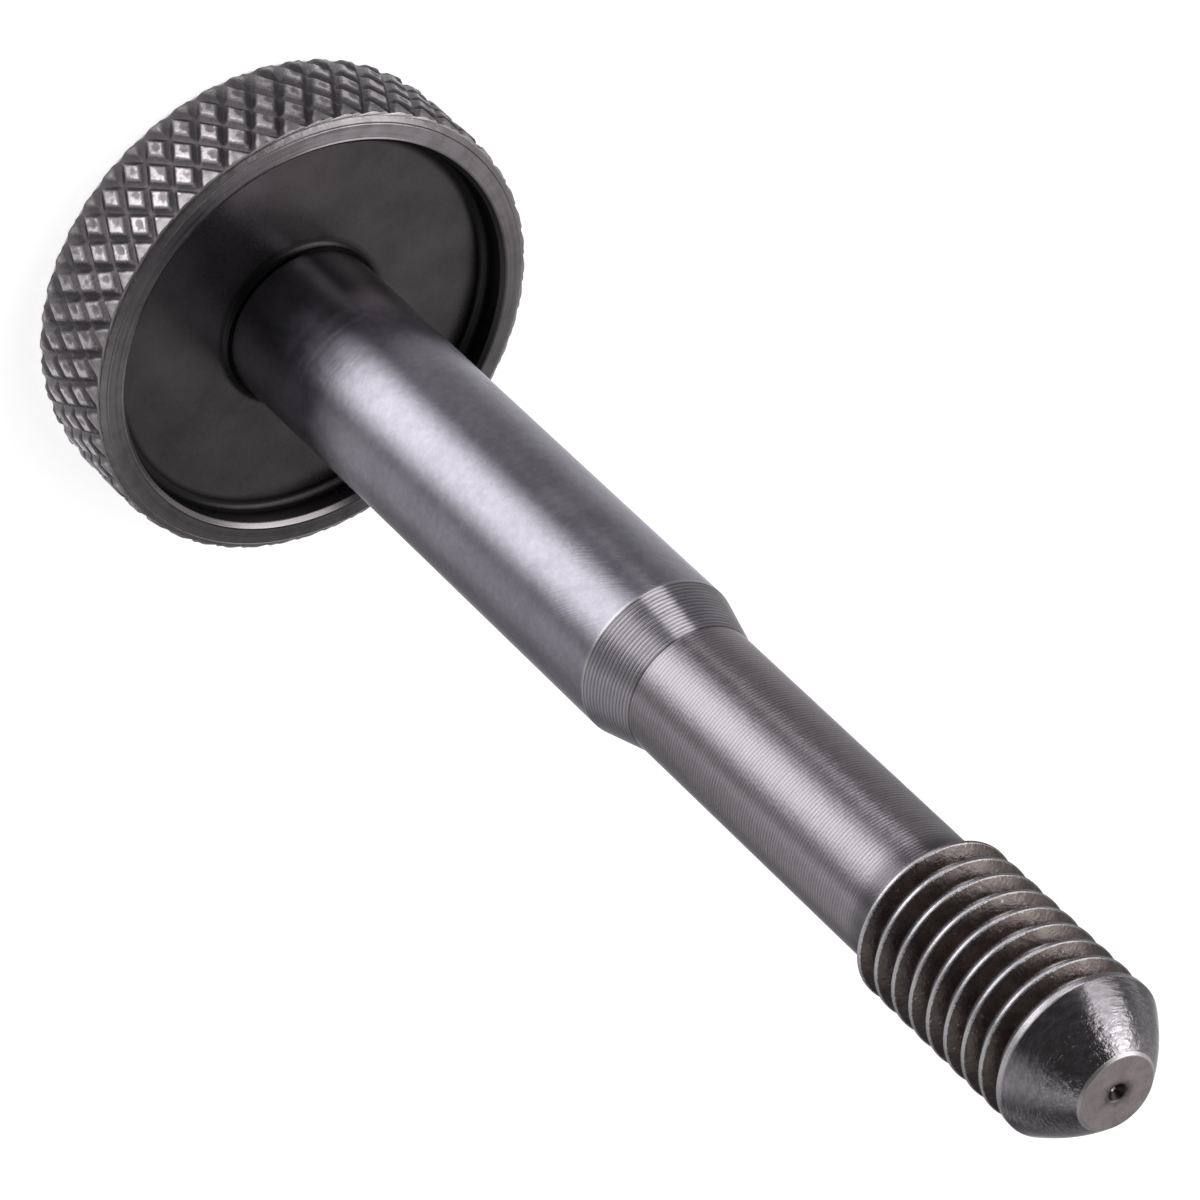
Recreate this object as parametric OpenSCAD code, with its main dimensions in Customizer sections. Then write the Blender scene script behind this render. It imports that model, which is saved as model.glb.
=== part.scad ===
// Blade clamp bolt: one turned steel piece. A knurled round head carries a recess around the foot
// of a plain shank, the shank tapers to a slimmer neck, and the end has ring ridges and a cone point.
// The bolt stands on the outer face of its head, with the shank pointing up along +Z.

/* [Head] */
// Diameter over the tops of the knurl
head_d = 23.6; // [22:0.2:26]
// Thickness of the head, from its outer face to its rim
head_h = 6; // [5:0.25:8]
// Width of the flat rim around the recess
rim_w = 1; // [0.6:0.1:2]
// Depth of the recess below the rim
recess_depth = 1.5; // [1:0.1:2.5]
// Height of the chamfer on each edge of the head
edge_h = 0.35; // [0.25:0.05:0.6]
// Width of the chamfer on each edge of the head
edge_w = 0.45; // [0.3:0.05:0.6]
// Radius of the fillets at the recess wall and at the foot of the shank
corner_r = 0.4; // [0.2:0.05:0.5]

/* [Knurl] */
// Diamonds in one ring around the head
knurl_count = 48; // [40:1:60]
// Angle between the knurl's grooves and the bolt's axis
knurl_angle = 30; // [25:1:40]
// Depth of the knurl's grooves
knurl_depth = 0.3; // [0.2:0.05:0.4]
// Share of a diamond's width that is left flat on top
knurl_flat = 0.5; // [0.4:0.05:0.7]

/* [Shank] */
// Diameter of the plain shank
shank_d = 8; // [7:0.1:10]
// Length of the plain shank, from the rim of the head to the taper
shank_l = 29.2; // [20:0.2:40]
// Length of the taper from the shank to the neck
taper_l = 2.8; // [1.5:0.1:4]
// Diameter of the neck
neck_d = 6.6; // [6:0.1:6.8]
// Length of the neck, from the taper to the first ridge
neck_l = 18; // [10:0.5:25]

/* [Ridges] */
// Diameter over the ridges
ridge_d = 7.95; // [7.8:0.05:8]
// Spacing of the ridges along the axis
ridge_pitch = 1.25; // [1.1:0.05:1.5]
// Number of ridges, of which the last carries the cone
ridge_n = 9; // [6:1:12]
// Depth of the grooves between the ridges
ridge_depth = 0.75; // [0.5:0.05:0.8]

/* [Tip] */
// Diameter of the flat tip
tip_d = 3.9; // [3:0.1:5]
// Length of the cone, from the last ridge to the flat tip
tip_l = 2.7; // [2:0.1:4]
// How far the side of the cone bows outwards
tip_bow = 0.12; // [0:0.02:0.3]
// Diameter of the centre mark in the tip
mark_d = 0.9; // [0.6:0.1:1.4]
// Depth of the centre mark in the tip
mark_depth = 0.35; // [0.2:0.05:0.6]

/* [Hidden] */
$fn = 96;
steel = [0.46, 0.45, 0.47];

// Small edge breaks at the recess and at the tip
recess_break = 0.12;
tip_break = 0.12;
// How far the knurled ring reaches into the plain core behind it
knurl_root = 0.2;
// How far the last ridge runs on before the cone
end_land = 0.05;
// How far the knurl's end flats stand over the turned edges beside them
end_lip = 0.03;
// Straight steps that draw a quarter of a fillet, and the side of the cone
fillet_steps = 5;
bow_steps = 5;

// Ridges: sixty degree sides and a flat crest of an eighth of the spacing
ridge_r = ridge_d / 2;
root_r = ridge_r - ridge_depth;
crest_flat = ridge_pitch / 8;
flank_angle = 30;

// Radii of the shank, the neck and the tip
shank_r = shank_d / 2;
neck_r = neck_d / 2;
tip_r = tip_d / 2;

// Heights along the axis, from the outer face of the head
floor_z = head_h - recess_depth;
taper_z = head_h + shank_l;
neck_z = taper_z + taper_l;
ridge_z = neck_z + neck_l;
crest_z = ridge_z + flank_w(neck_r) + crest_flat / 2;
cone_z = crest_z + (ridge_n - 1) * ridge_pitch + crest_flat / 2 + end_land;
total_h = cone_z + tip_l;
cone_top_z = total_h - tip_break;

// Radii of the head: knurl tops, groove bottoms, turned edges, rim and recess
top_r = head_d / 2;
groove_r = top_r - knurl_depth;
edge_r = top_r - knurl_depth / 2;
rim_r = edge_r - edge_w;
recess_r = rim_r - rim_w;
// The plain core under the knurl, and the bore of the knurled ring inside that core
core_r = groove_r - knurl_root;
ring_r = core_r - knurl_root;
// Where the outer diamonds run down towards the turned edges
end_r = edge_r + end_lip;

// Knurl: rows of half a diamond each, the angle and width of half a diamond, and the angle at which
// the pattern starts
band_z = edge_h;
band_h = head_h - 2 * edge_h;
half_angle = 180 / knurl_count;
half_w = PI * top_r / knurl_count;
row_n = max(2, round(band_h * tan(knurl_angle) / half_w));
row_h = band_h / row_n;
knurl_turn = 1.85;

// Length of a ridge's side between a radius and the crest
function flank_w(r) = (ridge_r - r) * tan(flank_angle);

// A point at a radius, an angle and a height
function polar(r, a, z) = [r * cos(a), r * sin(a), z];

// Part of a circle as points of the profile, from one angle to another
function arc(cx, cz, r, a0, a1) = [
    for (k = [0 : fillet_steps])
        let (a = a0 + (a1 - a0) * k / fillet_steps)
        [cx + r * cos(a), cz + r * sin(a)]
];

// The side of the cone, bowed outwards between its foot and its top
cone_side = [
    for (k = [0 : bow_steps])
        let (
            w = k / bow_steps,
            bow = 4 * tip_bow * w * (1 - w),
            run = [tip_r - ridge_r, cone_top_z - cone_z],
            out = [run[1], -run[0]] / norm(run)
        )
        [ridge_r, cone_z] + w * run + bow * out
];

// The ridges, each from the foot of its lower side to the foot of its upper side, or to the cone
ridge_side = [
    for (k = [0 : ridge_n - 1])
        let (
            z = crest_z + k * ridge_pitch,
            low_r = k == 0 ? neck_r : root_r,
            half = crest_flat / 2
        )
        each concat(
            [
                [low_r, z - half - flank_w(low_r)],
                [ridge_r, z - half]
            ],
            k == ridge_n - 1 ? [] : [
                [ridge_r, z + half],
                [root_r, z + half + flank_w(root_r)]
            ]
        )
];

// Half section of the turned body, without the knurl
body_profile = concat(
    [
        [0, 0],
        [rim_r, 0],
        [edge_r, edge_h],
        [core_r, edge_h],
        [core_r, head_h - edge_h],
        [edge_r, head_h - edge_h],
        [rim_r, head_h],
        [recess_r + recess_break, head_h],
        [recess_r, head_h - recess_break]
    ],
    arc(recess_r - corner_r, floor_z + corner_r, corner_r, 0, -90),
    arc(shank_r + corner_r, floor_z + corner_r, corner_r, -90, -180),
    [
        [shank_r, taper_z],
        [neck_r, neck_z]
    ],
    ridge_side,
    cone_side,
    [
        [tip_r - tip_break, total_h],
        [mark_d / 2, total_h],
        [0, total_h - mark_depth]
    ]
);

// Knurl points: groove crossings first, then the four corners of each diamond's flat top, then the
// bore. A position counts half diamonds around the head, and crossings and diamonds alternate.
function wrap(a) = (a + 2 * knurl_count) % (2 * knurl_count);
function cross_id(j, a) = j * knurl_count + floor(wrap(a) / 2);
function flat_id(j, a, c) = ((row_n + 1) + 4 * j) * knurl_count + 4 * floor(wrap(a) / 2) + c;
function bore_id(e, a) = (5 * (row_n + 1) + 2 * e) * knurl_count + wrap(a);
function knurl_point(r, j, a) = polar(r, knurl_turn + a * half_angle, band_z + j * row_h);
function side_r(j) = j == 0 || j == row_n ? end_r : top_r;

knurl_points = concat(
    [
        for (j = [0 : row_n], i = [0 : knurl_count - 1])
            knurl_point(groove_r, j, 2 * i + j % 2)
    ],
    [
        for (j = [0 : row_n], i = [0 : knurl_count - 1], c = [0 : 3])
            let (a = 2 * i + (j + 1) % 2)
            c == 0 ? knurl_point(side_r(j), j, a - knurl_flat)
            : c == 1 ? knurl_point(side_r(j), j, a + knurl_flat)
            : c == 2 ? knurl_point(top_r, max(0, j - knurl_flat), a)
            : knurl_point(top_r, min(row_n, j + knurl_flat), a)
    ],
    [
        for (e = [0, 1], a = [0 : 2 * knurl_count - 1])
            knurl_point(ring_r, e * row_n, a)
    ]
);

knurl_faces = [
    for (j = [0 : row_n], i = [0 : knurl_count - 1])
        let (
            a = 2 * i + (j + 1) % 2,
            left = flat_id(j, a, 0),
            right = flat_id(j, a, 1),
            low = flat_id(j, a, 2),
            high = flat_id(j, a, 3),
            cross_left = cross_id(j, a - 1),
            cross_right = cross_id(j, a + 1)
        )
        each concat(
            j == row_n ? [] : [
                [left, high, right],
                [left, cross_left, cross_id(j + 1, a)],
                [left, cross_id(j + 1, a), high],
                [high, cross_id(j + 1, a), cross_right],
                [high, cross_right, right]
            ],
            j == 0 ? [] : [
                [left, right, low],
                [right, cross_right, cross_id(j - 1, a)],
                [right, cross_id(j - 1, a), low],
                [low, cross_id(j - 1, a), cross_left],
                [low, cross_left, left]
            ],
            j == 0 ? [
                [bore_id(0, a), bore_id(0, a - 1), cross_left],
                [bore_id(0, a), cross_left, left],
                [bore_id(0, a), left, right],
                [bore_id(0, a), right, cross_right],
                [bore_id(0, a), cross_right, bore_id(0, a + 1)]
            ] : [],
            j == row_n ? [
                [bore_id(1, a), cross_left, bore_id(1, a - 1)],
                [bore_id(1, a), left, cross_left],
                [bore_id(1, a), right, left],
                [bore_id(1, a), cross_right, right],
                [bore_id(1, a), bore_id(1, a + 1), cross_right]
            ] : []
        ),
    for (a = [0 : 2 * knurl_count - 1])
        each [
            [bore_id(0, a), bore_id(0, a + 1), bore_id(1, a + 1)],
            [bore_id(0, a), bore_id(1, a + 1), bore_id(1, a)]
        ]
];

// The knurled ring around the core of the head
module knurl() {
    polyhedron(points = knurl_points, faces = knurl_faces);
}

// The whole bolt
module bolt() {
    color(steel)
        union() {
            rotate_extrude()
                polygon(body_profile);
            knurl();
        }
}

bolt();
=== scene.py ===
import math

import bpy
import numpy as np
from mathutils import Euler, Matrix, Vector

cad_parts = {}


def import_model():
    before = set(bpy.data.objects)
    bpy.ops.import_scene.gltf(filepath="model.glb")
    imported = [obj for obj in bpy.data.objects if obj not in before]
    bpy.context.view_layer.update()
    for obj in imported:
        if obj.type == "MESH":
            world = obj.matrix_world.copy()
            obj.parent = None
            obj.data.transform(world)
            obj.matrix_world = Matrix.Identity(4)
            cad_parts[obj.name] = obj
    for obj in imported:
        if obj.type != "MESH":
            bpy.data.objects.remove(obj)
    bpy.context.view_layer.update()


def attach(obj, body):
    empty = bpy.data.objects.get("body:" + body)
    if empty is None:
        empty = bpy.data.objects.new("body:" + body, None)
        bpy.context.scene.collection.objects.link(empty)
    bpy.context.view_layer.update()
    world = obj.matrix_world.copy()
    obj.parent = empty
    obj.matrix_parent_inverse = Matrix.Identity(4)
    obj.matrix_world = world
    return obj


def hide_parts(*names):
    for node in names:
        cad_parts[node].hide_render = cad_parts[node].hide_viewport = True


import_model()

# Sizes are in millimetres and angles in degrees, as in the part's source. The bolt stands on the outer
# face of its head with its axis along +Z. Seen upright, -Y is the front and -X the left.
MM = 0.001

# Head
HEAD_R = 11.8
HEAD_H = 6.0
EDGE_H = 0.35
EDGE_W = 0.45
EDGE_ROUND = 0.1
RIM_W = 1.0
RECESS_DEPTH = 1.5
RECESS_BREAK = 0.2
LIP_ROUND = 0.05
CORNER_R = 0.4

# Knurl
KNURL_COUNT = 48
KNURL_ROWS = 4
KNURL_DEPTH = 0.3
KNURL_TURN = 1.85
# How far the end flats stand over the turned edges beside them
END_LIP = 0.03
# Share of a diamond that is left flat on top, at the lower and at the upper end of the band
KNURL_FLAT = (0.36, 0.5)
# The tops are dished, some more than others, and each leans a little its own way
DISH_DEPTH = 0.075
DISH_LEAST = 0.25
DISH_R = 0.2
DISH_SHIFT = 0.06
DISH_LEAN = 0.085
KNURL_UNEVEN = 0.02
KNURL_SEED = 7

# Shank, taper and neck
SHANK_R = 4.0
SHANK_L = 29.2
SHOULDER_ROUND = 0.25
TAPER_L = 2.8
TAPER_N = 15
TAPER_GROOVE = 0.011
NECK_R = 3.3
NECK_L = 18.0

# Ridges
RIDGE_N = 9
RIDGE_PITCH = 1.25
RIDGE_R = 3.975
RIDGE_DEPTH = 0.75
FLANK_ANGLE = 30.0
CREST_ROUND = 0.04
ROOT_ROUND = 0.195
RIDGE_FOOT_ROUND = 0.1
END_LAND = 0.05

# Cone, flat tip and centre mark
TIP_L = 2.7
TIP_R = 1.95
TIP_BREAK = 0.12
TIP_ROUND = 0.05
CONE_BOW = 0.12
CONE_LAND = 0.08
MARK_R = 0.45
MARK_DEPTH = 0.35
MARK_ROUND = 0.12

# Radii of the head, worked out from those
GROOVE_R = HEAD_R - KNURL_DEPTH
EDGE_R = HEAD_R - KNURL_DEPTH / 2
KNURL_END_R = EDGE_R + END_LIP
RIM_R = EDGE_R - EDGE_W
RECESS_R = RIM_R - RIM_W

# Heights: where the turned edge meets the knurl's grooves, one row of the knurl, and places along the axis
EDGE_Z = (GROOVE_R - RIM_R) * EDGE_H / EDGE_W
ROW_H = (HEAD_H - 2 * EDGE_H) / KNURL_ROWS
FLOOR_Z = HEAD_H - RECESS_DEPTH
TAPER_Z = HEAD_H + SHANK_L
NECK_Z = TAPER_Z + TAPER_L
RIDGE_Z = NECK_Z + NECK_L

# Ridges with a flat crest of an eighth of the pitch, and the cone on the last one
ROOT_R = RIDGE_R - RIDGE_DEPTH
FLANK = math.tan(math.radians(FLANK_ANGLE))
CREST_HALF = RIDGE_PITCH / 16
CREST_Z = RIDGE_Z + (RIDGE_R - NECK_R) * FLANK + CREST_HALF
CONE_Z = CREST_Z + (RIDGE_N - 1) * RIDGE_PITCH + CREST_HALF + END_LAND
TIP_Z = CONE_Z + TIP_L

# Points in one turn, on the plain parts and on the rim and the recess. The knurl's rows have twice as many
# again.
TURN_N = 168
RECESS_N = 2 * TURN_N
START_ANGLE = -90.0
# Grid lines over half a diamond of the knurl, from the middle of a groove to the middle of the flat
KNURL_LINES = (0.0, 0.07, 0.14, 0.21, 0.27, 0.33, 0.41, 0.5)
# Arcs up to this radius are drawn in two steps
SMALL_ROUND = 0.05
SMALL_STEPS = 2
# The most of a side that a rounded corner may cut off, and the room that a support point needs
CUT_SHARE = 0.45
SUPPORT_ROOM = 2.5

# Radii of the mesh's rings on the outer face, the rim, the floor of the recess and the tip
FACE_RINGS = (0.6, 3.0, 6.0, 9.0)
FACE_FINE_R = 10.3
RIM_MIDDLE_R = 10.7
FLOOR_FINE_R = 8.0
FLOOR_MIDDLE_R = 7.0
FLOOR_INNER_R = 6.0
TIP_MIDDLE_R = 1.0
MARK_BOTTOM_R = 0.06
MARK_POINT = 0.02

# Where the mesh's plain stretches along the axis start and end, from the edges beside them
WALL_START = 0.3
FOOT_H = 1.2
SHANK_END = 0.3
SHANK_STEPS = 12
SHOULDER_SHARE = 0.08
TAPER_START = 0.1
NECK_START = 0.03
NECK_END = 0.25
NECK_STEPS = 10
RIDGE_LEAD = 0.5
CONE_LEAD = 0.03

# Corners sharper than this are shaded as edges
SHARP_ANGLE = 40.0

# Noise stays mostly between these values
NOISE_LOW = 0.3
NOISE_HIGH = 0.7

# Camera
CAMERA_PLACE = (-0.1215, -226.813, 234.237)
CAMERA_TURN = (-37.3763, -32.7107, 144.7237)
CAMERA_LENS = 206.163
CAMERA_CLIP = (10.0, 20000.0)
SENSOR = 36.0

# Floor, which glows a little to show white, and the level of the world as light and as background
FLOOR_HALF = 3000.0
FLOOR_COLOR = (0.86, 0.86, 0.86, 1.0)
FLOOR_ROUGH = 0.9
FLOOR_GLOW = 0.62
WORLD_LIGHT = 0.7
WORLD_WHITE = 1.0

# Studio dome: its size, its own level and its soft windows, each with the way to its middle and its level
DOME_R = 1500.0
DOME_ROWS = 12
DOME_SIDES = 32
ROOM_LEVEL = 0.05
WINDOW_REACH = (0.925, 0.985)
WINDOWS = (((-0.6, 0.15, 0.785), 1.3), ((-0.8, 0.2, 0.565), 0.6), ((0.6, 0.15, 0.785), 0.36),
           ((-0.26, 0.42, 0.87), 0.16), ((0.26, 0.4, 0.88), 0.12))

# Card on the table: just outside the head, just above the floor
CARD_INNER_R = 12.1
CARD_OUTER_R = 900.0
CARD_Z = 0.3
CARD_SIDES = 120
CARD_LEVEL = 0.17
CARD_COLOR = (0.985, 0.975, 1.0, 1.0)

# Lamps look at the middle of the bolt
LAMP_TARGET = (0.0, 0.0, 35.0)


class Shell:
    """Points and faces of one closed mesh, with the zone of each face."""

    def __init__(self):
        self.points = []
        self.faces = []
        self.zones = []

    def add(self, xyz):
        start = len(self.points)
        self.points.extend(map(tuple, xyz))
        return np.arange(start, len(self.points))

    def face(self, corners, zone):
        kept = [int(c) for i, c in enumerate(corners) if c != corners[i - 1]]
        if len(set(kept)) > 2 and len(set(kept)) == len(kept):
            self.faces.append(kept)
            self.zones.append(zone)

    def band(self, low, high, zone):
        """Joins two rings, of which one may have twice as many points as the other."""
        n = min(len(low), len(high))
        a, b = len(low) // n, len(high) // n
        for k in range(n):
            l0, l1 = low[a * k], low[(a * k + a) % len(low)]
            h0, h1 = high[b * k], high[(b * k + b) % len(high)]
            if a == b:
                self.face((l0, l1, h1, h0), zone)
            elif a == 2:
                mid = low[2 * k + 1]
                self.face((l0, mid, h0), zone)
                self.face((mid, h1, h0), zone)
                self.face((mid, l1, h1), zone)
            else:
                mid = high[2 * k + 1]
                self.face((l0, mid, h0), zone)
                self.face((l0, l1, mid), zone)
                self.face((l1, h1, mid), zone)


def polar(r, angles, z):
    """Points at a radius, some angles and a height."""
    a = np.radians(angles)
    r, z = np.broadcast_to(r, a.shape), np.broadcast_to(z, a.shape)
    return np.stack([r * np.cos(a), r * np.sin(a), z], 1)


def turn_angles(n):
    return START_ANGLE + 360.0 * np.arange(n) / n


def rolled(ring, angles):
    """The ring's points in order from the one nearest the start angle."""
    first = int(np.argmin(np.abs((angles - START_ANGLE + 180) % 360 - 180)))
    return np.roll(ring, -first)


def angle_between(a, b):
    cosine = float(a @ b) / math.sqrt(float(a @ a) * float(b @ b))
    return math.acos(max(-1.0, min(1.0, cosine)))


def rounded(corners, steps=4, support=0.05):
    """A profile whose corners are (r, z, radius), with an arc and two support points at each rounded one."""
    out = []
    for i, (r, z, radius) in enumerate(corners):
        p = np.array([r, z], float)
        if radius == 0 or i in (0, len(corners) - 1):
            out.append(p)
            continue
        d0, d1 = (np.array(corners[j][:2], float) - p for j in (i - 1, i + 1))
        l0, l1 = np.linalg.norm(d0), np.linalg.norm(d1)
        d0, d1 = d0 / l0, d1 / l1
        half = angle_between(d0, d1) / 2
        cut = min(radius / math.tan(half), CUT_SHARE * l0, CUT_SHARE * l1)
        centre = p + (d0 + d1) / np.linalg.norm(d0 + d1) * cut / math.cos(half)
        va, vb = p + d0 * cut - centre, p + d1 * cut - centre
        sweep = angle_between(va, vb)
        arc_steps = steps if radius > SMALL_ROUND else SMALL_STEPS
        if l0 > SUPPORT_ROOM * (cut + support):
            out.append(p + d0 * (cut + support))
        for k in range(arc_steps + 1):
            w = k / arc_steps
            out.append(centre + (math.sin((1 - w) * sweep) * va + math.sin(w * sweep) * vb) / math.sin(sweep))
        if l1 > SUPPORT_ROOM * (cut + support):
            out.append(p + d1 * (cut + support))
    return out


def revolve(shell, ring, profile, zone, n):
    """Carries a ring along a profile and returns the last ring."""
    for r, z in profile:
        following = shell.add(polar(r, turn_angles(n), z))
        shell.band(ring, following, zone)
        ring = following
    return ring


def cap(shell, ring, z, zone, up):
    """Closes a ring with a fan around its middle."""
    centre = shell.add([(0.0, 0.0, z)])[0]
    for k in range(len(ring)):
        a, b = ring[k], ring[(k + 1) % len(ring)]
        shell.face((a, b, centre) if up else (b, a, centre), zone)


def knurl_cell():
    """Grid lines across one diamond, from one groove to the next."""
    lines = np.array(KNURL_LINES)
    return np.concatenate([lines, 1 - lines[-2:0:-1]])


def knurl_angles():
    """Angles of the points along the ends of the knurl."""
    u = (np.arange(KNURL_COUNT)[:, None] + knurl_cell()[None, :]).ravel()
    return KNURL_TURN + 360.0 / KNURL_COUNT * u


def knurl_radius(u, v, z):
    """Radius of the knurl, where u and v count diamonds across the two sets of grooves."""
    fu, fv = u % 1.0, v % 1.0
    edge = np.minimum(np.minimum(fu, 1 - fu), np.minimum(fv, 1 - fv))
    flat_low, flat_high = KNURL_FLAT
    flat = flat_low + (flat_high - flat_low) * np.clip((z - ROW_H) / (2 * ROW_H), 0, 1)
    side = np.clip(2 * edge / (1 - flat), 0, 1)
    rise = side * side * (3 - 2 * side)
    # Each diamond's own depth of dish, and its lean along both sets of grooves
    rng = np.random.default_rng(KNURL_SEED)
    own = rng.uniform((0.0, -1.0, -1.0), 1.0, (KNURL_COUNT, KNURL_COUNT, 3))
    cell_u, cell_v = (np.floor(w).astype(int) % KNURL_COUNT for w in (u, v))
    depth, lean_u, lean_v = np.moveaxis(own[cell_u, cell_v], -1, 0)
    slope = lean_u * (fu - 0.5) + lean_v * (fv - 0.5)
    away = np.hypot(fu - 0.5 + DISH_LEAN - DISH_SHIFT * lean_u,
                    fv - 0.5 - DISH_LEAN - DISH_SHIFT * lean_v) / DISH_R
    dish = (DISH_LEAST + (1 - DISH_LEAST) * depth) * np.clip(1 - away * away, 0, 1)
    from_end = np.minimum(z - EDGE_H, HEAD_H - EDGE_H - z)
    top = KNURL_END_R + (HEAD_R - KNURL_END_R) * np.clip(from_end / (flat * ROW_H), 0, 1)
    return GROOVE_R + (top - GROOVE_R) * rise - DISH_DEPTH * dish - KNURL_UNEVEN * rise * (1 + slope)


def knurl(shell):
    """The knurled band, on a grid whose lines follow the two sets of grooves. Returns its end rings."""
    cell = knurl_cell()
    m = len(cell)
    n, rows = KNURL_COUNT * m, KNURL_ROWS * m
    k, p = np.meshgrid(np.arange(rows + 1), np.arange(n), indexing="ij")
    q = k - p
    u, v = p // m + cell[p % m], q // m + cell[q % m]
    angle = KNURL_TURN + (u - v) * 180.0 / KNURL_COUNT
    z = EDGE_H + (u + v) * ROW_H
    r = knurl_radius(u, v, z)
    ids = shell.add(polar(r.ravel(), angle.ravel(), z.ravel())).reshape(k.shape)
    for row in range(rows - 1):
        here, up, top_row = ids[row], ids[row + 1], ids[row + 2]
        for i in range(n):
            j = (i + 1) % n
            shell.face((here[i], up[j], top_row[j], up[i]), "knurl")
    for i in range(n):
        j = (i + 1) % n
        shell.face((ids[0][i], ids[0][j], ids[1][j]), "knurl")
        shell.face((ids[-2][i], ids[-1][j], ids[-1][i]), "knurl")
    return ids[0], ids[-1]


def outer_face(shell, low, ends):
    """Outer face and lower edge of the head, up to the lower end of the knurl."""
    inner = shell.add(polar(FACE_RINGS[0], turn_angles(TURN_N), 0.0))
    cap(shell, inner, 0.0, "face", False)
    ring = revolve(shell, inner, [(r, 0.0) for r in FACE_RINGS[1:]], "face", TURN_N)
    edge = rounded([(FACE_FINE_R, 0.0, 0), (RIM_R, 0.0, EDGE_ROUND), (GROOVE_R, EDGE_Z, 0)])
    ring = revolve(shell, ring, edge[:-1], "face", RECESS_N)
    last = shell.add(polar(GROOVE_R, ends, EDGE_Z))
    shell.band(ring, rolled(last, ends), "face")
    shell.band(last, low, "face")


def rim(shell, high, ends):
    """Upper edge, rim and lip of the recess, from the upper end of the knurl. Returns the last ring."""
    edge = rounded([(GROOVE_R, HEAD_H - EDGE_Z, 0), (RIM_R, HEAD_H, EDGE_ROUND), (RIM_MIDDLE_R, HEAD_H, 0)])
    first = shell.add(polar(GROOVE_R, ends, HEAD_H - EDGE_Z))
    shell.band(high, first, "rim")
    ring = revolve(shell, rolled(first, ends), edge[1:], "rim", RECESS_N)
    lip = rounded([(RIM_MIDDLE_R, HEAD_H, 0), (RECESS_R + RECESS_BREAK, HEAD_H, LIP_ROUND),
                   (RECESS_R, HEAD_H - RECESS_BREAK, LIP_ROUND), (RECESS_R, HEAD_H - 2 * RECESS_BREAK, 0)],
                  support=0.03)
    return revolve(shell, ring, lip[1:-1], "rim", RECESS_N)


def recess(shell, ring):
    """Wall and floor of the recess and the foot of the shank. Returns the last ring."""
    wall = rounded([(RECESS_R, HEAD_H - WALL_START, 0), (RECESS_R, FLOOR_Z, CORNER_R),
                    (FLOOR_FINE_R, FLOOR_Z, 0)], steps=6)
    ring = revolve(shell, ring, wall, "recess", RECESS_N)
    ring = revolve(shell, ring, [(FLOOR_MIDDLE_R, FLOOR_Z)], "recess", TURN_N)
    foot = rounded([(FLOOR_INNER_R, FLOOR_Z, 0), (SHANK_R, FLOOR_Z, CORNER_R),
                    (SHANK_R, FLOOR_Z + FOOT_H, 0)], steps=6)
    return revolve(shell, ring, foot[:-1], "recess", TURN_N)


def taper_profile():
    """The taper's grooved side, from the shank to the neck."""
    out = []
    for i in range(TAPER_N):
        for w in (0.0, 0.25, 0.5, 0.75):
            t = (i + w) / TAPER_N
            dip = 4 * TAPER_GROOVE * w * (1 - w)
            out.append((SHANK_R + (NECK_R - SHANK_R) * t - dip, TAPER_Z + TAPER_L * t))
    return [p for p in out if p[1] > TAPER_Z + TAPER_START]


def shaft(shell, ring):
    """Shank, taper and neck. Returns the last ring."""
    shank = [(SHANK_R, z) for z in np.linspace(FLOOR_Z + FOOT_H, TAPER_Z - SHANK_END, SHANK_STEPS)]
    past_r, past_z = SHANK_R + (NECK_R - SHANK_R) * SHOULDER_SHARE, TAPER_Z + TAPER_L * SHOULDER_SHARE
    shoulder = rounded([(SHANK_R, TAPER_Z - SHANK_END, 0), (SHANK_R, TAPER_Z, SHOULDER_ROUND),
                        (past_r, past_z, 0)], steps=3, support=0.02)
    ring = revolve(shell, ring, shank + shoulder[1:-1], "shank", TURN_N)
    ring = revolve(shell, ring, taper_profile(), "taper", TURN_N)
    neck = [(NECK_R, z) for z in np.linspace(NECK_Z + NECK_START, RIDGE_Z - NECK_END, NECK_STEPS)]
    return revolve(shell, ring, neck, "neck", TURN_N)


def ridge_profile():
    """The rings between the neck and the cone, with rounded crests and roots."""
    half = RIDGE_PITCH / 2
    corners = [(NECK_R, RIDGE_Z - RIDGE_LEAD, 0), (NECK_R, RIDGE_Z, RIDGE_FOOT_ROUND)]
    for k in range(RIDGE_N):
        z = CREST_Z + k * RIDGE_PITCH
        corners.append((RIDGE_R, z - CREST_HALF, CREST_ROUND))
        if k < RIDGE_N - 1:
            corners.append((RIDGE_R, z + CREST_HALF, CREST_ROUND))
            corners.append((RIDGE_R - (half - CREST_HALF) / FLANK, z + half, ROOT_ROUND))
    corners.append((RIDGE_R, CONE_Z + CONE_LAND - CONE_LEAD, 0))
    return rounded(corners, steps=3, support=0.04)[1:]


def cone_profile():
    """The bowed side of the cone, from its foot on the last ridge to the bevel of the flat tip."""
    foot, top = np.array([RIDGE_R, CONE_Z + CONE_LAND]), np.array([TIP_R, TIP_Z - TIP_BREAK])
    run = top - foot
    out_way = np.array([run[1], -run[0]]) / np.linalg.norm(run)
    # Steps along the side, closer at the foot
    ways = [0.0, 0.02, *np.linspace(0.08, 1, 13)]
    return [foot + run * w + out_way * 4 * CONE_BOW * w * (1 - w) for w in ways]


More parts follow.
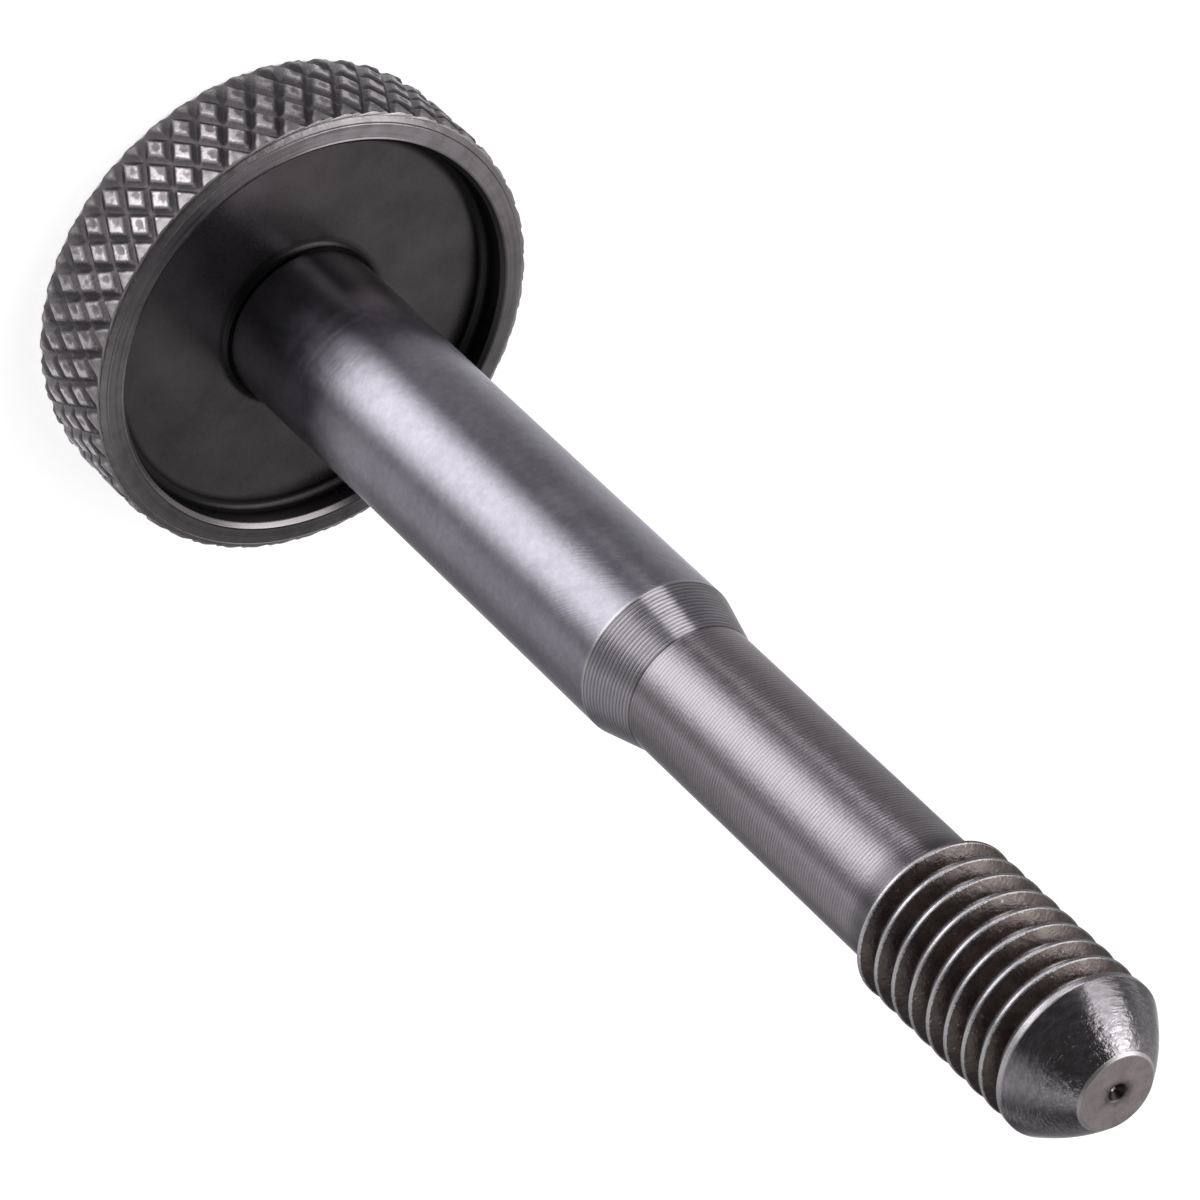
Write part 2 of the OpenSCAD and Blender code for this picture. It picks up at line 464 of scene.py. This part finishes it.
def tip(shell, ring):
    """Flat tip and centre mark, which close the mesh."""
    flat = rounded([(TIP_R, TIP_Z - TIP_BREAK, 0), (TIP_R - TIP_BREAK, TIP_Z, TIP_ROUND),
                    (TIP_MIDDLE_R, TIP_Z, 0)], support=0.03)
    ring = revolve(shell, ring, flat[1:], "tip", TURN_N)
    mark = rounded([(TIP_MIDDLE_R, TIP_Z, 0), (MARK_R, TIP_Z, MARK_ROUND),
                    (MARK_BOTTOM_R, TIP_Z - MARK_DEPTH, 0)], support=0.03)
    ring = revolve(shell, ring, mark[1:], "tip", TURN_N)
    cap(shell, ring, TIP_Z - MARK_DEPTH - MARK_POINT, "tip", True)


def bolt_shell():
    """The whole bolt as one closed mesh, from the outer face of the head to the tip."""
    shell = Shell()
    ends = knurl_angles()
    low, high = knurl(shell)
    outer_face(shell, low, ends)
    ring = rim(shell, high, ends)
    ring = recess(shell, ring)
    ring = shaft(shell, ring)
    ring = revolve(shell, ring, ridge_profile(), "ridges", TURN_N)
    ring = revolve(shell, ring, cone_profile(), "cone", TURN_N)
    tip(shell, ring)
    return shell


class Nodes:
    """Short names for the nodes of one material."""

    def __init__(self, name, shader="ShaderNodeBsdfPrincipled"):
        self.material = bpy.data.materials.new(name)
        self.material.use_nodes = True
        self.tree = self.material.node_tree
        self.tree.nodes.clear()
        self.shader = self.make(shader)
        out = self.make("ShaderNodeOutputMaterial")
        self.link(self.shader.outputs[0], out.inputs[0])
        coords = self.make("ShaderNodeTexCoord").outputs["Object"]
        parts = self.make("ShaderNodeSeparateXYZ")
        self.link(coords, parts.inputs[0])
        # Coordinates in millimetres, from the object's own metres
        self.x, self.y, self.z = (self.times(parts.outputs[i], 1 / MM) for i in range(3))
        self.angle = self.math("ARCTAN2", self.y, self.x)
        self.radius = self.math("SQRT", self.sum(self.times(self.x, self.x), self.times(self.y, self.y)))

    def make(self, kind):
        return self.tree.nodes.new(kind)

    def link(self, a, b):
        self.tree.links.new(a, b)

    def put(self, socket, value):
        if isinstance(value, bpy.types.NodeSocket):
            self.link(value, socket)
        elif hasattr(value, "__len__") and len(value) == 3 and len(socket.default_value) == 4:
            socket.default_value = (*value, 1.0)
        else:
            socket.default_value = value

    def math(self, kind, a, b=None):
        node = self.make("ShaderNodeMath")
        node.operation = kind
        self.put(node.inputs[0], a)
        if b is not None:
            self.put(node.inputs[1], b)
        return node.outputs[0]

    def sum(self, *values):
        total = values[0]
        for value in values[1:]:
            total = self.math("ADD", total, value)
        return total

    def times(self, *values):
        total = values[0]
        for value in values[1:]:
            total = self.math("MULTIPLY", total, value)
        return total

    def weighted(self, *pairs):
        """Sum of values, each with its weight."""
        return self.sum(*(self.times(value, weight) for value, weight in pairs))

    def most(self, a, b):
        return self.math("MAXIMUM", a, b)

    def uneven(self, value, noise, amount):
        """A value that a noise pushes up and down."""
        return self.sum(value, self.times(self.math("SUBTRACT", noise, 0.5), amount))

    def cycle(self, kind, phase):
        """A sine or cosine between 0 and 1."""
        return self.sum(self.times(self.math(kind, phase), 0.5), 0.5)

    def range(self, value, low, high, to_low=0.0, to_high=1.0, smooth=True):
        node = self.make("ShaderNodeMapRange")
        node.interpolation_type = "SMOOTHSTEP" if smooth else "LINEAR"
        for i, v in enumerate((value, low, high, to_low, to_high)):
            self.put(node.inputs[i], v)
        return node.outputs[0]

    def spread(self, noise, to_low=0.0, to_high=1.0):
        """A noise stretched between two levels."""
        return self.range(noise, NOISE_LOW, NOISE_HIGH, to_low, to_high)

    def vector(self, x, y, z):
        node = self.make("ShaderNodeCombineXYZ")
        for i, v in enumerate((x, y, z)):
            self.put(node.inputs[i], v)
        return node.outputs[0]

    def noise(self, where, scale, detail, rough):
        node = self.make("ShaderNodeTexNoise")
        self.put(node.inputs["Vector"], where)
        self.put(node.inputs["Scale"], scale)
        self.put(node.inputs["Detail"], detail)
        self.put(node.inputs["Roughness"], rough)
        return node.outputs["Fac"]

    def grain(self, scale, detail, rough):
        """Noise that is as fine in every direction."""
        return self.noise(self.vector(self.x, self.y, self.z), scale, detail, rough)

    def turned(self, along, fineness, turn_scale, detail=4.0, rough=0.55, scale=1.0, angle=None):
        """Noise drawn out around the bolt, as a turning tool leaves it, and fine along the given value."""
        angle = self.angle if angle is None else angle
        c = self.times(self.math("COSINE", angle), turn_scale)
        s = self.times(self.math("SINE", angle), turn_scale)
        return self.noise(self.vector(c, s, self.times(along, fineness)), scale, detail, rough)

    def mix(self, factor, a, b):
        node = self.make("ShaderNodeMix")
        node.data_type = "RGBA"
        self.put(node.inputs["Factor"], factor)
        self.put(node.inputs[6], a)
        self.put(node.inputs[7], b)
        return node.outputs[2]

    def bump(self, height, depth_mm):
        node = self.make("ShaderNodeBump")
        self.put(node.inputs["Height"], height)
        self.put(node.inputs["Distance"], depth_mm * MM)
        self.put(node.inputs["Strength"], 1.0)
        return node.outputs[0]

    def finish(self, color, roughness, normal, anisotropic=0.0):
        """Bare metal. Where it is anisotropic, its reflections are drawn out along the bolt."""
        s = self.shader.inputs
        s["Metallic"].default_value = 1.0
        s["IOR"].default_value = 1.5
        self.put(s["Base Color"], color)
        self.put(s["Roughness"], roughness)
        self.link(normal, s["Normal"])
        if anisotropic:
            s["Anisotropic"].default_value = anisotropic
            s["Anisotropic Rotation"].default_value = 0.25
            tangent = self.make("ShaderNodeTangent")
            tangent.direction_type = "RADIAL"
            tangent.axis = "Z"
            self.link(tangent.outputs[0], s["Tangent"])
        return self.material


def shank_steel():
    """Satin steel with fine turning lines, with painted shade on its left side and at its foot."""
    n = Nodes("satin_shank_steel")
    dull, clean, edge_color = (0.49, 0.47, 0.535), (0.64, 0.615, 0.69), (0.80, 0.78, 0.82)
    # Colours of the painted shade on the left and at the foot
    left_shade_color, foot_color = (0.12, 0.115, 0.125), (0.035, 0.034, 0.037)
    lines = n.turned(n.z, 9.0, 0.5)
    blotch = n.grain(0.5, 4.0, 0.6)
    mottle = n.grain(2.4, 4.0, 0.65)
    color = n.mix(n.spread(n.weighted((lines, 0.12), (blotch, 0.38), (mottle, 0.5))), dull, clean)
    color = n.mix(n.range(n.z, TAPER_Z - 0.16, TAPER_Z - 0.04), color, edge_color)
    # Painted shade on the left near the foot, and on both sides of the foot
    left_shade_x, left_shade_z, left_shade_share = (-1.9, -3.2), (14.0, 9.0), 0.75
    color = n.mix(n.times(n.range(n.x, *left_shade_x), n.range(n.z, *left_shade_z), left_shade_share), color, left_shade_color)
    foot_left, foot_right, foot_z, right_share = (-1.6, -2.6), (1.9, 3.0), (10.5, 8.0), 0.4
    foot = n.sum(n.range(n.x, *foot_left), n.range(n.x, *foot_right, 0.0, right_share))
    color = n.mix(n.times(foot, n.range(n.z, *foot_z)), color, foot_color)
    # Fine slanting scratches towards the taper
    slant = n.sum(n.angle, n.times(n.z, 1 / SHANK_R))
    hatch_z = (26.0, 33.0)
    hatch = n.times(n.turned(n.z, 0.8, 30.0, 2.0, angle=slant), n.range(n.z, *hatch_z))
    rough = n.sum(n.spread(lines, 0.18, 0.21), n.spread(blotch, 0.0, 0.05))
    height = n.weighted((lines, 0.2), (mottle, 2.0), (hatch, 2.4))
    return n.finish(color, rough, n.bump(height, 0.003), 0.66)


def taper_steel():
    """Steel of the taper, its grooves painted as light crests and dark hollows, with painted shade in the
    corner at the neck.
    """
    n = Nodes("grooved_taper_steel")
    low, high, neck_corner_shade_color = (0.38, 0.357, 0.385), (0.68, 0.65, 0.69), (0.20, 0.185, 0.195)
    crest = n.cycle("COSINE", n.range(n.z, TAPER_Z, NECK_Z, 0.0, 2 * math.pi * TAPER_N, smooth=False))
    lines = n.turned(n.z, 5.0, 2.5)
    # The grooves are painted in, light on the crests and dark in the hollows, as painted light and shade
    color = n.mix(n.range(n.weighted((crest, 0.7), (lines, 0.5)), 0.2, 0.95), low, high)
    # Painted shade in the corner at the neck
    color = n.mix(n.range(n.z, NECK_Z - 0.22, NECK_Z - 0.05), color, neck_corner_shade_color)
    return n.finish(color, n.spread(lines, 0.15, 0.22), n.bump(lines, 0.012), 0.3)


def neck_steel():
    """Steel with the uneven feed marks of the neck, painted as light and dark lines, and painted shade before
    the ridges.
    """
    n = Nodes("grooved_neck_steel")
    low, high, dull = (0.42, 0.39, 0.415), (0.63, 0.585, 0.62), (0.26, 0.245, 0.265)
    feed, sway = 0.18, 4.0
    wobble = n.turned(n.z, 2.0, 1.2, 3.0)
    groove = n.cycle("SINE", n.weighted((n.z, 2 * math.pi / feed), (wobble, sway)))
    lines = n.turned(n.z, 11.0, 0.9)
    mottle = n.turned(n.z, 1.4, 5.0, 5.0, 0.62, scale=1.2)
    chatter = n.turned(n.z, 6.5, 16.0, 3.0, 0.6)
    height = n.weighted((groove, 0.5), (lines, 0.9), (mottle, 2.2), (chatter, 1.6))
    # The feed grooves are painted as light and dark lines, painted light and shade over the steel's own
    # mottle
    shade = n.weighted((groove, 0.42), (lines, 0.2), (mottle, 0.2), (chatter, 0.2))
    color = n.mix(n.range(shade, 0.26, 0.74), low, high)
    # Painted shade on the last turns before the ridges
    color = n.mix(n.range(n.z, RIDGE_Z - 1.6, RIDGE_Z - 0.5), color, dull)
    rough = n.sum(n.spread(lines, 0.16, 0.22), n.range(mottle, 0.35, 0.65, 0.0, 0.06))
    return n.finish(color, rough, n.bump(height, 0.006), 0.3)


def ridge_steel():
    """Dark, stained ridges with worn crests painted bright as a highlight, less so on the left as painted
    shade, and a painted highlight along the roots.
    """
    n = Nodes("dark_ridge_steel")
    dark, brown, speck_color = (0.145, 0.118, 0.113), (0.23, 0.197, 0.19), (0.50, 0.46, 0.45)
    root_highlight_color, bright, dull = (0.46, 0.425, 0.45), (0.97, 0.95, 0.98), (0.42, 0.40, 0.415)
    stain = n.grain(1.5, 5.0, 0.65)
    nick = n.grain(6.5, 3.0, 0.6)
    fine = n.grain(5.0, 4.0, 0.7)
    speck = n.range(n.grain(4.2, 2.0, 0.5), 0.68, 0.76)
    color = n.mix(speck, n.mix(n.spread(stain), dark, brown), speck_color)
    # A painted highlight along the roots
    color = n.mix(n.range(n.radius, ROOT_R + 0.1, ROOT_R + 0.05), color, root_highlight_color)
    # The crests are worn and painted bright as a highlight, less so on the left as painted shade
    crest = n.most(n.range(n.uneven(n.radius, nick, 0.1), RIDGE_R - 0.08, RIDGE_R - 0.03),
                   n.range(n.z, CONE_Z - 0.12, CONE_Z - 0.06))
    left = (-1.2, -2.6)
    color = n.mix(crest, color, n.mix(n.range(n.x, *left), bright, dull))
    return n.finish(color, n.spread(stain, 0.2, 0.3), n.bump(n.sum(fine, stain), 0.022))


def cone_steel():
    """Smooth steel with tool chatter towards the tip, with painted shade on both sides and a painted
    highlight at its foot.
    """
    n = Nodes("chatter_cone_steel")
    low, high = (0.38, 0.352, 0.37), (0.56, 0.53, 0.565)
    side_shade_color, foot_color = (0.12, 0.112, 0.118), (0.76, 0.73, 0.77)
    along = n.math("SUBTRACT", n.z, CONE_Z)
    scale = n.turned(along, 5.2, 7.0, 3.0, 0.62)
    wave = n.turned(along, 4.0, 2.4, 2.0, 0.5)
    ripple_l, sway = 0.2, 26.0
    ripple = n.math("SINE", n.weighted((along, 2 * math.pi / ripple_l), (wave, sway)))
    chatter = n.times(ripple, n.range(scale, 0.42, 0.58), n.range(along, 0.7, 1.5, 0.0, 0.06))
    height = n.times(n.sum(scale, n.times(wave, 0.5)), n.range(along, 0.3, 1.9, 0.3, 1.0))
    # Painted shade on the left and on the right side
    left, right = (-1.5, -3.2), (0.72, 0.95)
    stain = n.sum(n.range(n.x, *left, 0.0, 0.5), n.range(n.math("DIVIDE", n.x, n.radius), *right, 0.0, 0.6))
    color = n.mix(stain, n.mix(n.spread(scale), low, high), side_shade_color)
    # A painted highlight at the foot of the cone
    color = n.mix(n.range(along, 0.16, 0.06), color, foot_color)
    return n.finish(color, n.spread(scale, 0.12, 0.2), n.bump(n.sum(height, chatter), 0.05), 0.15)


def tip_steel():
    """Matte tip, darker around its centre mark, with painted shade inside the mark, a painted glint at its
    bottom, and a bright bevel.
    """
    n = Nodes("matte_tip_steel")
    low, high, bevel_color = (0.54, 0.465, 0.47), (0.80, 0.70, 0.71), (0.84, 0.79, 0.80)
    centre_dark_color, mark_shade_color, glint = (0.10, 0.08, 0.075), (0.06, 0.05, 0.048), (0.95, 0.93, 0.92)
    grain = n.grain(9.0, 5.0, 0.7)
    cloud = n.grain(1.6, 3.0, 0.6)
    pale = n.mix(n.spread(n.weighted((grain, 0.5), (cloud, 0.5))), low, high)
    # Darker around the centre mark
    color = n.mix(n.range(n.uneven(n.radius, cloud, 0.5), 0.25, 0.95), centre_dark_color, pale)
    # Painted shade inside the centre mark, and a painted glint at its bottom
    color = n.mix(n.range(n.radius, MARK_R + 0.01, MARK_R - 0.07), color, mark_shade_color)
    color = n.mix(n.range(n.radius, 0.13, 0.09), color, glint)
    bevel_r = TIP_R - TIP_BREAK
    color = n.mix(n.range(n.radius, bevel_r - 0.05, bevel_r + 0.02), color, bevel_color)
    return n.finish(color, n.spread(grain, 0.36, 0.48), n.bump(grain, 0.008))


def recess_steel():
    """Dark floor of the recess, with painted shade in its two corners, which mirrors the shank."""
    n = Nodes("dark_recess_steel")
    low, high, corner_shade_color = (0.118, 0.107, 0.111), (0.198, 0.18, 0.186), (0.04, 0.037, 0.039)
    blotch = n.grain(0.3, 4.0, 0.55)
    grain = n.grain(6.0, 4.0, 0.65)
    color = n.mix(n.spread(n.weighted((blotch, 0.7), (grain, 0.3))), low, high)
    # Painted shade in the two corners
    corner = n.most(n.range(n.radius, RECESS_R - 0.75, RECESS_R - 0.4),
                    n.range(n.radius, SHANK_R + 0.6, SHANK_R + 0.25))
    color = n.mix(corner, color, corner_shade_color)
    rough = n.sum(n.spread(blotch, 0.25, 0.28), n.spread(grain, 0.0, 0.04))
    return n.finish(color, rough, n.bump(grain, 0.0015))


def rim_steel():
    """Turned rim with a worn outer edge, and a lip with painted shade and a painted highlight on the right.
    """
    n = Nodes("turned_rim_steel")
    low, high, edge_color = (0.30, 0.278, 0.292), (0.43, 0.402, 0.42), (0.45, 0.42, 0.435)
    lip_shade_color, lip_highlight_color, burr_color = (0.08, 0.075, 0.078), (0.43, 0.395, 0.4), (0.72, 0.68, 0.69)
    rings = n.turned(n.sum(n.radius, n.z), 9.0, 0.6)
    wear = n.grain(1.1, 4.0, 0.6)
    color = n.mix(n.range(n.weighted((rings, 0.45), (wear, 0.55)), 0.35, 0.65), low, high)
    outer_edge = n.range(n.radius, RIM_R - 0.03, RIM_R + 0.06)
    color = n.mix(n.times(outer_edge, n.range(wear, 0.35, 0.6, 0.35, 1.0)), color, edge_color)
    # The lip is painted dark as shade, with a painted highlight on the right
    lip_right = (4.2, 6.2)
    lip_color = n.mix(n.range(n.x, *lip_right), lip_shade_color, lip_highlight_color)
    color = n.mix(n.range(n.radius, RECESS_R + 0.27, RECESS_R + 0.17), color, lip_color)
    color = n.mix(n.range(n.radius, GROOVE_R + 0.01, GROOVE_R + 0.06), color, burr_color)
    # The rim falls away outwards by a few degrees, and its worn outer edge is nicked
    slope, nick_depth, ring_depth = -0.24, 0.025, 0.002
    flat = n.times(n.range(n.z, HEAD_H - 0.06, HEAD_H - 0.02),
                   n.range(n.radius, RECESS_R + 0.2, RECESS_R + 0.3))
    fall = n.times(n.sum(n.radius, -RECESS_R), flat, slope)
    nick = n.times(n.grain(3.0, 4.0, 0.7), n.range(n.radius, RIM_R - 0.15, RIM_R + 0.05), nick_depth)
    rough = n.sum(n.spread(rings, 0.24, 0.34), n.times(outer_edge, 0.12))
    return n.finish(color, rough, n.bump(n.sum(n.times(rings, ring_depth), fall, nick), 1.0), 0.5)


def knurl_steel():
    """Knurl with dark grooves, burnished tops and pale ends at the rim."""
    n = Nodes("knurled_steel")
    groove_color, top_low, top_high = (0.135, 0.125, 0.132), (0.26, 0.24, 0.252), (0.35, 0.327, 0.34)
    end_color, burnished_color = (0.52, 0.49, 0.50), (0.74, 0.70, 0.715)
    grain = n.grain(3.5, 5.0, 0.68)
    fine = n.grain(9.0, 3.0, 0.6)
    uneven_r = n.uneven(n.radius, grain, 0.1)
    raised = n.range(uneven_r, HEAD_R - 0.15, HEAD_R - 0.04)
    burnished = n.range(uneven_r, HEAD_R - 0.045, HEAD_R - 0.015)
    end = n.times(n.range(n.z, HEAD_H - 1.0, HEAD_H - 0.6),
                  n.range(uneven_r, KNURL_END_R - 0.1, KNURL_END_R - 0.03))
    color = n.mix(raised, groove_color, n.mix(fine, top_low, top_high))
    color = n.mix(end, color, end_color)
    color = n.mix(burnished, color, burnished_color)
    rough = n.math("SUBTRACT", n.spread(fine, 0.34, 0.46), n.times(burnished, 0.1))
    return n.finish(color, rough, n.bump(n.sum(grain, n.times(fine, 0.4)), 0.035))


def face_steel():
    """Plain turned steel of the outer face."""
    n = Nodes("turned_face_steel")
    low, high = (0.36, 0.345, 0.36), (0.50, 0.48, 0.50)
    rings = n.turned(n.radius, 6.0, 0.5)
    return n.finish(n.mix(rings, low, high), n.spread(rings, 0.22, 0.34), n.bump(rings, 0.003), 0.6)


# The material of each zone, in the order of the mesh's material slots
ZONE_STEEL = {
    "face": face_steel, "knurl": knurl_steel, "rim": rim_steel, "recess": recess_steel, "shank": shank_steel,
    "taper": taper_steel, "neck": neck_steel, "ridges": ridge_steel, "cone": cone_steel, "tip": tip_steel,
}


def bolt():
    """The detailed bolt, which stands for the plain one."""
    shell = bolt_shell()
    mesh = bpy.data.meshes.new("clamp_bolt")
    mesh.from_pydata((np.array(shell.points) * MM).tolist(), [], shell.faces)
    for make in ZONE_STEEL.values():
        mesh.materials.append(make())
    slots = {zone: i for i, zone in enumerate(ZONE_STEEL)}
    mesh.polygons.foreach_set("material_index", np.array([slots[zone] for zone in shell.zones], np.int32))
    mesh.polygons.foreach_set("use_smooth", np.ones(len(mesh.polygons), bool))
    mesh.set_sharp_from_angle(angle=math.radians(SHARP_ANGLE))
    mesh.update()
    obj = bpy.data.objects.new("clamp_bolt", mesh)
    bpy.context.scene.collection.objects.link(obj)
    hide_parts("bolt")
    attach(obj, "root")


def stage_object(name, points, faces):
    """A mesh of the set, with its points in millimetres."""
    mesh = bpy.data.meshes.new(name)
    mesh.from_pydata([tuple(c * MM for c in p) for p in points], [], faces)
    obj = bpy.data.objects.new(name, mesh)
    bpy.context.scene.collection.objects.link(obj)
    return obj


def seen_directly(tree):
    """1 for rays from the camera, a mirror or glass, and 0 for others."""
    path = tree.nodes.new("ShaderNodeLightPath")
    total = path.outputs["Is Camera Ray"]
    for name in ("Is Glossy Ray", "Is Transmission Ray"):
        node = tree.nodes.new("ShaderNodeMath")
        node.operation = "MAXIMUM"
        tree.links.new(total, node.inputs[0])
        tree.links.new(path.outputs[name], node.inputs[1])
        total = node.outputs[0]
    return total


def floor():
    """The pale floor, which shows white and keeps the bolt's shadow."""
    h = FLOOR_HALF
    obj = stage_object("floor", [(-h, -h, 0), (h, -h, 0), (h, h, 0), (-h, h, 0)], [(0, 1, 2, 3)])
    mat = bpy.data.materials.new("pale_floor")
    mat.use_nodes = True
    tree = mat.node_tree
    shader = tree.nodes["Principled BSDF"]
    shader.inputs["Base Color"].default_value = FLOOR_COLOR
    shader.inputs["Roughness"].default_value = FLOOR_ROUGH
    shader.inputs["Specular IOR Level"].default_value = 0.0
    shader.inputs["Emission Color"].default_value = (1, 1, 1, 1)
    gain = tree.nodes.new("ShaderNodeMath")
    gain.operation = "MULTIPLY"
    gain.inputs[1].default_value = FLOOR_GLOW
    tree.links.new(seen_directly(tree), gain.inputs[0])
    tree.links.new(gain.outputs[0], shader.inputs["Emission Strength"])
    obj.data.materials.append(mat)


def world():
    """Soft light from all around, which shows white."""
    w = bpy.data.worlds.new("studio")
    bpy.context.scene.world = w
    w.use_nodes = True
    tree = w.node_tree
    tree.nodes.clear()
    out = tree.nodes.new("ShaderNodeOutputWorld")
    back = tree.nodes.new("ShaderNodeBackground")
    gain = tree.nodes.new("ShaderNodeMapRange")
    gain.inputs["To Min"].default_value = WORLD_LIGHT
    gain.inputs["To Max"].default_value = WORLD_WHITE
    tree.links.new(seen_directly(tree), gain.inputs["Value"])
    tree.links.new(gain.outputs[0], back.inputs["Strength"])
    tree.links.new(back.outputs[0], out.inputs[0])


def only_in_reflections(obj):
    """A studio card beside the set: the metal mirrors it, and it hides and shades nothing."""
    obj.visible_camera = False
    obj.visible_diffuse = False
    obj.visible_transmission = False
    obj.visible_volume_scatter = False
    obj.visible_shadow = False


def dome_mesh():
    """Points and faces of a half sphere over the set."""
    points, faces = [], []
    for i in range(DOME_ROWS + 1):
        e = math.radians(90.0 * i / DOME_ROWS)
        for k in range(DOME_SIDES):
            a = 2 * math.pi * k / DOME_SIDES
            way = (math.cos(e) * math.cos(a), math.cos(e) * math.sin(a), math.sin(e))
            points.append(tuple(DOME_R * w for w in way))
    for i in range(DOME_ROWS):
        near, far = i * DOME_SIDES, (i + 1) * DOME_SIDES
        for k in range(DOME_SIDES):
            following = (k + 1) % DOME_SIDES
            faces.append((near + k, near + following, far + following, far + k))
    return points, faces


def dark_room():
    """The dark studio around the set, as the metal mirrors it: paler sides and soft windows."""
    obj = stage_object("dark_room", *dome_mesh())
    n = Nodes("dark_room", "ShaderNodeEmission")
    x, y, z = (n.times(v, 1 / DOME_R) for v in (n.x, n.y, n.z))
    back = n.times(n.range(y, 0.3, 0.75, 0.0, 0.31), n.range(x, 0.24, -0.24, 0.25, 1.0),
                   n.range(y, 0.7, 0.95, 1.0, 0.55))
    right = n.times(n.range(x, 0.5, 0.95, 0.0, 0.3), n.range(y, 0.6, -0.1, 0.3, 1.0))
    left = n.times(n.range(x, -0.55, -0.95, 0.0, 0.3), n.range(y, 0.4, -0.2, 0.5, 1.0))
    front = n.times(n.range(y, -0.7, -0.95, 0.0, 0.5), n.range(z, 0.32, 0.16))
    windows = []
    for way, level in WINDOWS:
        near = n.weighted(*zip((x, y, z), way))
        windows.append(n.range(near, *WINDOW_REACH, 0.0, level))
    n.link(n.sum(ROOM_LEVEL, back, right, left, front, *windows), n.shader.inputs["Strength"])
    obj.data.materials.append(n.material)
    only_in_reflections(obj)


def table_card():
    """A card on the table around the head: grey, with pools and strips of light that the bolt mirrors."""
    turn = 2 * math.pi * np.arange(CARD_SIDES) / CARD_SIDES
    points = [(r * math.cos(a), r * math.sin(a), CARD_Z) for r in (CARD_INNER_R, CARD_OUTER_R) for a in turn]
    pairs = [(k, (k + 1) % CARD_SIDES) for k in range(CARD_SIDES)]
    obj = stage_object("table_card", points, [(a, b, CARD_SIDES + b, CARD_SIDES + a) for a, b in pairs])
    n = Nodes("table_card", "ShaderNodeEmission")
    # Degrees from the front, to the right
    turned = n.times(n.math("ARCTAN2", n.x, n.times(n.y, -1.0)), 180.0 / math.pi)

    def strip(middle, none, full, level):
        """Light in a range of directions, from none at one angle off their middle to its level at another."""
        off = n.math("ABSOLUTE", n.math("SUBTRACT", turned, middle))
        return n.range(off, none, full, 0.0, level)

    # The pool of light starts clear of the head, which shades the table beside it
    pool = n.times(strip(3.0, 49.0, 6.0, 1.15), n.range(n.radius, 10.6, 16.6),
                   n.range(n.radius, 26.0, 13.0, 1.0, 1.5))
    behind = n.sum(strip(0.0, 135.0, 172.0, 0.4), n.range(turned, -76.0, -140.0, 0.0, 0.32))
    right = strip(76.0, 42.0, 8.0, 0.16)
    rest = n.times(n.sum(behind, right), n.range(n.radius, 36.0, 50.0, 1.0, 0.5),
                   n.range(n.radius, 54.0, 66.0, 1.0, 0.4))
    skirt = n.times(strip(0.0, 28.0, 58.0, 0.35), n.range(n.radius, 19.0, 15.5))
    # Weak side strips, which only the neck mirrors, and one for the crests of the ridges
    neck_strips = n.times(n.sum(strip(-56.0, 8.0, 3.0, 0.22), strip(68.0, 10.0, 4.0, 0.12)),
                          n.range(n.radius, 40.0, 46.0))
    crest_strip = n.times(strip(85.0, 45.0, 20.0, 0.2), n.range(n.radius, 57.0, 63.0))
    near = n.sum(pool, rest, skirt, crest_strip, neck_strips)
    far = n.sum(strip(3.0, 26.0, 8.0, 0.4), strip(-51.0, 19.0, 10.0, 1.0), right,
                n.times(behind, n.range(n.radius, 115.0, 150.0, 1.0, 0.35)))
    # A narrow strip behind, for the back of the shank and the neck
    back_strip = n.times(strip(0.0, 158.0, 174.0, 0.7), n.range(n.radius, 36.0, 46.0),
                         n.range(n.radius, 125.0, 95.0))
    reach = n.range(n.radius, 78.0, 105.0)
    level = n.sum(CARD_LEVEL, back_strip, n.times(near, n.math("SUBTRACT", 1.0, reach)), n.times(far, reach))
    n.link(level, n.shader.inputs["Strength"])
    n.shader.inputs["Color"].default_value = CARD_COLOR
    obj.data.materials.append(n.material)
    only_in_reflections(obj)


def lamp(name, place, size, radiance):
    width, height = (s * MM for s in size)
    light = bpy.data.lights.new(name, "AREA")
    light.shape = "RECTANGLE"
    light.size, light.size_y = width, height
    light.energy = radiance * math.pi * width * height
    obj = bpy.data.objects.new(name, light)
    bpy.context.scene.collection.objects.link(obj)
    obj.location = Vector(place) * MM
    obj.rotation_euler = (Vector(LAMP_TARGET) - Vector(place)).to_track_quat("-Z", "Y").to_euler()
    obj.visible_camera = False


def lights():
    lamp("left_softbox", (-240.0, -20.0, 205.0), (220.0, 220.0), 0.95)
    lamp("back_softbox", (-80.0, 260.0, 260.0), (200.0, 160.0), 0.15)


def camera():
    data = bpy.data.cameras.new("camera")
    data.lens = CAMERA_LENS
    data.sensor_width = SENSOR
    data.sensor_fit = "HORIZONTAL"
    data.clip_start, data.clip_end = (c * MM for c in CAMERA_CLIP)
    obj = bpy.data.objects.new("camera", data)
    bpy.context.scene.collection.objects.link(obj)
    obj.location = Vector(CAMERA_PLACE) * MM
    obj.rotation_euler = Euler([math.radians(a) for a in CAMERA_TURN], "XYZ")
    bpy.context.scene.camera = obj


bpy.context.scene.view_settings.view_transform = "Standard"
camera()
bolt()
floor()
world()
dark_room()
table_card()
lights()
